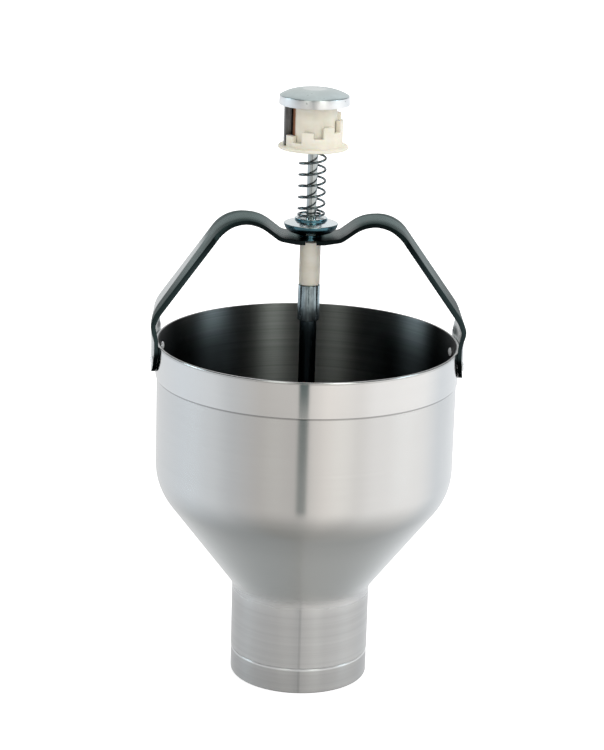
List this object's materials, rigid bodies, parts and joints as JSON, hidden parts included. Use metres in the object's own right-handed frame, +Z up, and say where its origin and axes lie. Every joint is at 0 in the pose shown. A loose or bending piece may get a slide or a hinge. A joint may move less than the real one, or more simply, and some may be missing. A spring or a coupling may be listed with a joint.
{
  "type": "batter dispenser",
  "caption": "Hand-held batter dispenser: steel hopper with a spout and foot ring, arched strap handle, sprung thumb plunger with a notched portion ring.",
  "frame": {"origin": "middle of the foot ring's underside, on the surface that the dispenser stands on", "axes": "+Z up along the plunger, +X along the handle to the right ear, -Y towards the front, where the handle's slot opens"},
  "size_m": [0.2494, 0.2416, 0.4825],
  "materials": {
    "hopper": "fine circumferential brushing, satin",
    "band": "satin",
    "foot": "satin, turned",
    "strap": "dark brushed, polished edge",
    "rivet": "polished",
    "seat": "polished chrome",
    "spring": "bright drawn wire",
    "rod": "ground and polished",
    "cap": "tumbled, satin",
    "nylon": "ivory nylon",
    "finger": "brushed",
    "fastener": "zinc grey",
    "collar": "drawn, vertical grain",
    "tube": "polished dark",
    "seal": "matte",
    "valve": "turned"
  },
  "bodies": {
    "hopper": {"hopper_bowl": "hopper", "rim_band": "band", "foot_ring": "foot", "handle_strap": "strap", "rivet_right_front": "rivet", "rivet_right_back": "rivet", "rivet_left_front": "rivet", "rivet_left_back": "rivet"},
    "seat": {"spring_seat": "seat", "return_spring": "spring"},
    "plunger": {"thumb_cap": "cap", "cap_sleeve": "nylon", "stop_finger": "finger", "cap_nut": "fastener", "rod": "rod", "stop_tube": "nylon", "coupling_collar": "collar", "plunger_tube": "tube", "piston": "nylon", "piston_seal": "seal", "spacer_tube": "tube", "valve_gasket": "seal", "valve_disc": "valve", "valve_washer": "fastener", "valve_nut": "fastener"},
    "dial": {"portion_ring": "nylon"}
  },
  "joints": [
    {"name": "plunger_turn", "type": "hinge", "parent": "hopper", "child": "seat", "pos_m": [0, 0, 0.37], "axis": [0, 0, 1], "continuous": true},
    {"name": "plunger_press", "type": "slide", "parent": "seat", "child": "plunger", "axis": [0, 0, -1], "range_m": [0, 0.044], "stiffness_N_per_m": 900, "springref_m": -0.022, "deforming": ["return_spring"]},
    {"name": "ring_drop", "type": "slide", "parent": "plunger", "child": "dial", "axis": [0, 0, -1], "range_m": [0, 0.0092], "stiffness_N_per_m": 900, "springref_m": -0.01}
  ]
}
